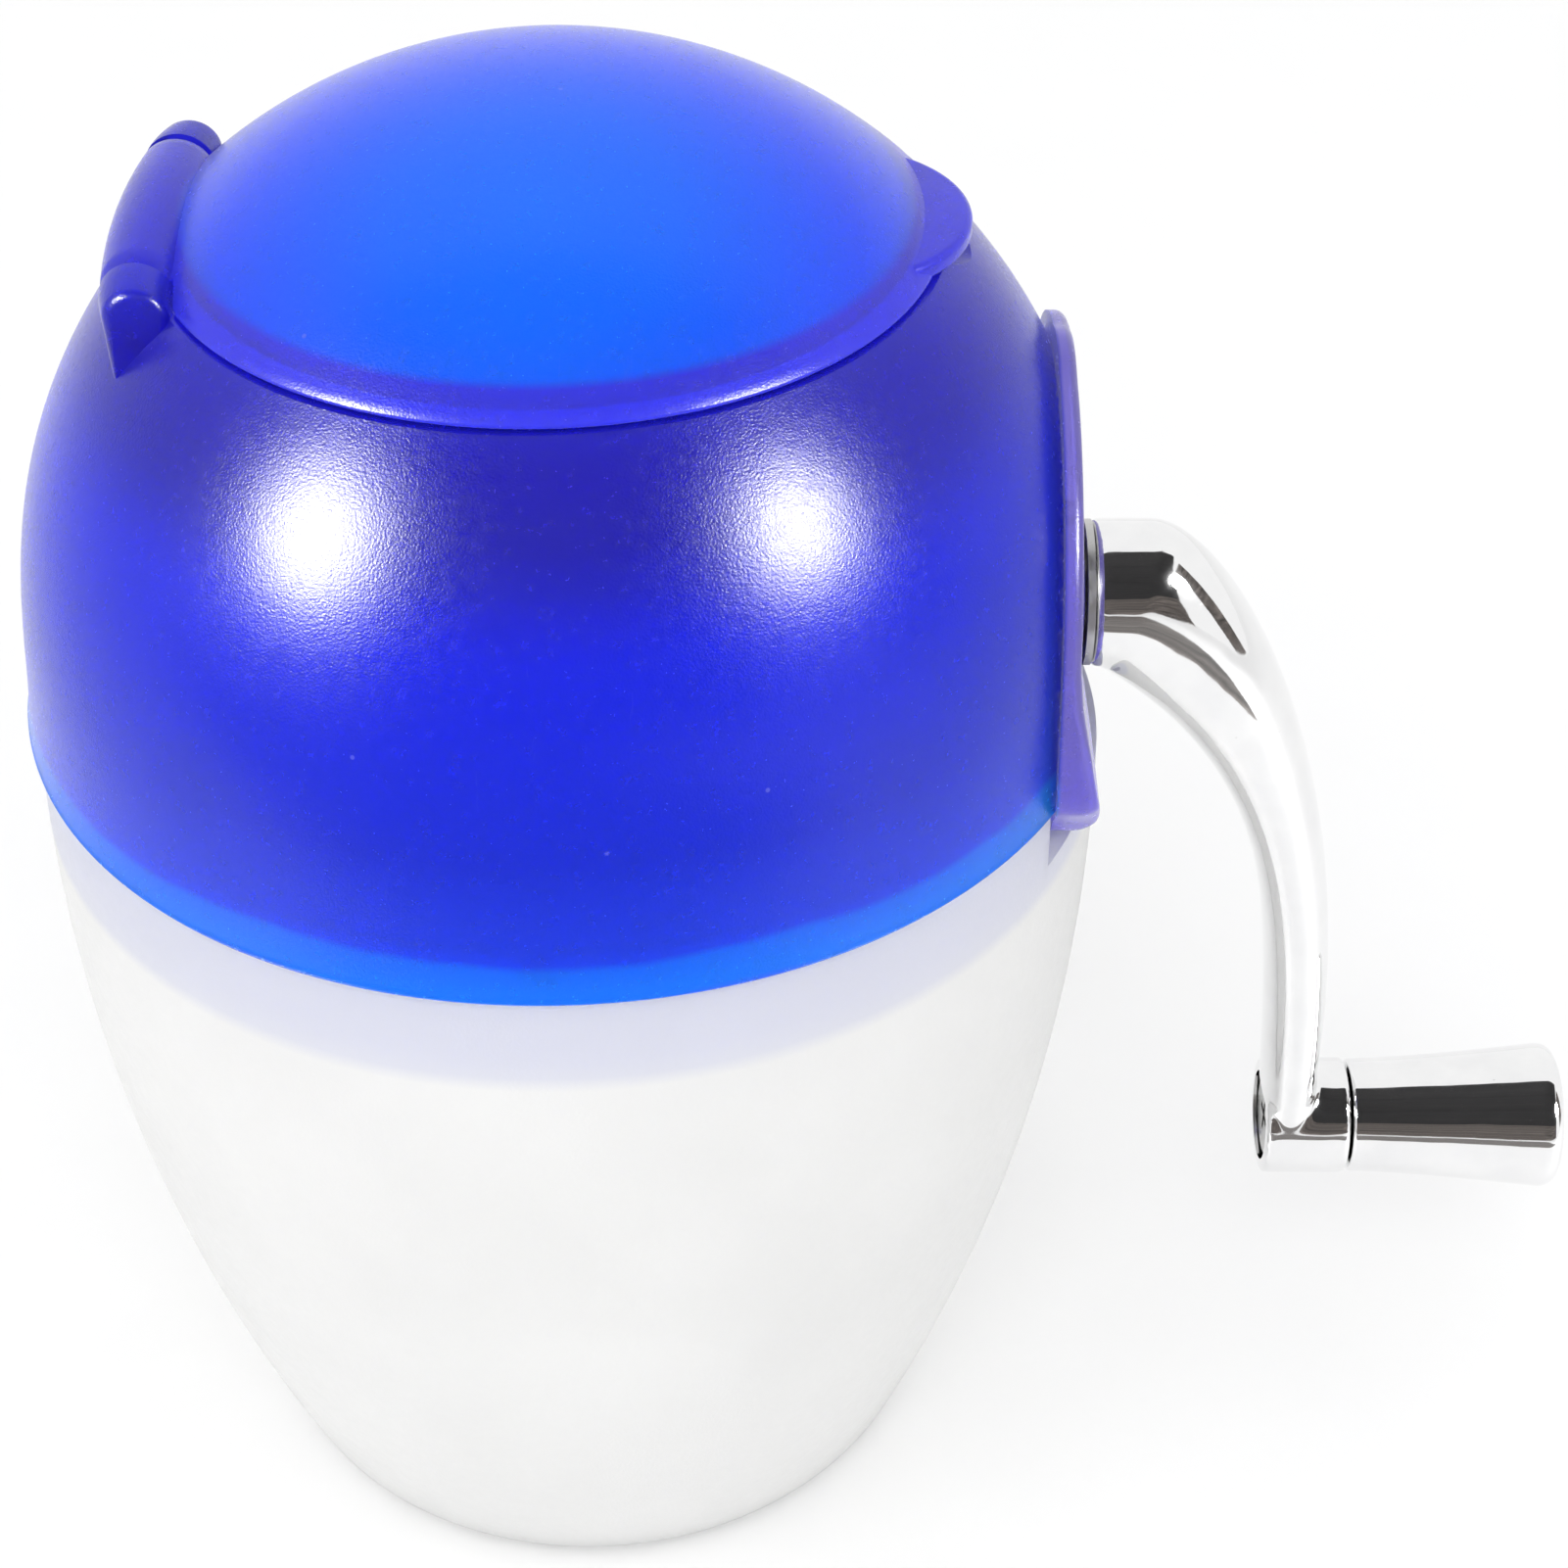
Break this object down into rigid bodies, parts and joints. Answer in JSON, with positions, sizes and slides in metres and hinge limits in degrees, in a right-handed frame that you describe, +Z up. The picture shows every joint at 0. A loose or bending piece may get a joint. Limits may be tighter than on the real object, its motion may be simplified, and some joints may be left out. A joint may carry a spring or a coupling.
{
  "type": "hand-crank ice crusher",
  "caption": "Hand-crank ice crusher: frosted catch cup, domed blue head with hinged lid and hopper, chrome crank turning a bladed rotor between fixed combs.",
  "frame": {"origin": "centre of the cup's flat base, on the table", "axes": "+Z up, +X along the crank shaft towards the crank, lid hinge at -X"},
  "size_m": [0.2013, 0.134, 0.1969],
  "materials": {
    "cup_plastic": "frosted, translucent",
    "head_plastic": "satin, translucent",
    "lid_plastic": "satin, translucent",
    "hopper_plastic": "satin, translucent",
    "bush_plastic": "smooth",
    "blade_steel": "stamped",
    "shaft_steel": "turned",
    "screw_steel": "zinc plated",
    "crank_chrome": "polished",
    "knob_chrome": "polished"
  },
  "bodies": {
    "cup": {"cup": "cup_plastic"},
    "head": {"head_shell": "head_plastic", "hopper": "hopper_plastic", "side_plate": "head_plastic", "bush_right": "bush_plastic", "bush_left": "bush_plastic", "comb_front": "blade_steel", "comb_rear": "blade_steel", "comb_screws": "screw_steel", "hopper_screws": "screw_steel", "plate_screws": "screw_steel", "hinge_pin": "head_plastic"},
    "lid": {"lid": "lid_plastic"},
    "rotor": {"shaft": "shaft_steel", "blade_1": "blade_steel", "blade_2": "blade_steel", "blade_3": "blade_steel", "blade_4": "blade_steel", "blade_5": "blade_steel", "blade_6": "blade_steel", "spacer_1": "shaft_steel", "spacer_2": "shaft_steel", "spacer_3": "shaft_steel", "spacer_4": "shaft_steel", "spacer_5": "shaft_steel", "end_spacer_left": "shaft_steel", "end_spacer_right": "shaft_steel", "retaining_clip": "screw_steel", "thrust_washer": "screw_steel", "crank_arm": "crank_chrome", "crank_set_screw": "screw_steel"},
    "knob": {"knob": "knob_chrome", "knob_screw": "screw_steel"}
  },
  "joints": [
    {"name": "head_lift", "type": "slide", "parent": "cup", "child": "head", "axis": [0, 0, 1], "range_m": [0, 0.06]},
    {"name": "lid_hinge", "type": "hinge", "parent": "head", "child": "lid", "pos_m": [-0.0446, 0, 0.178], "axis": [0, -1, 0], "range_deg": [0, 110]},
    {"name": "crank_turn", "type": "hinge", "parent": "head", "child": "rotor", "pos_m": [0, 0, 0.1283], "axis": [1, 0, 0], "continuous": true},
    {"name": "knob_spin", "type": "hinge", "parent": "rotor", "child": "knob", "pos_m": [0.1, 0, 0.0402], "axis": [1, 0, 0], "continuous": true}
  ]
}
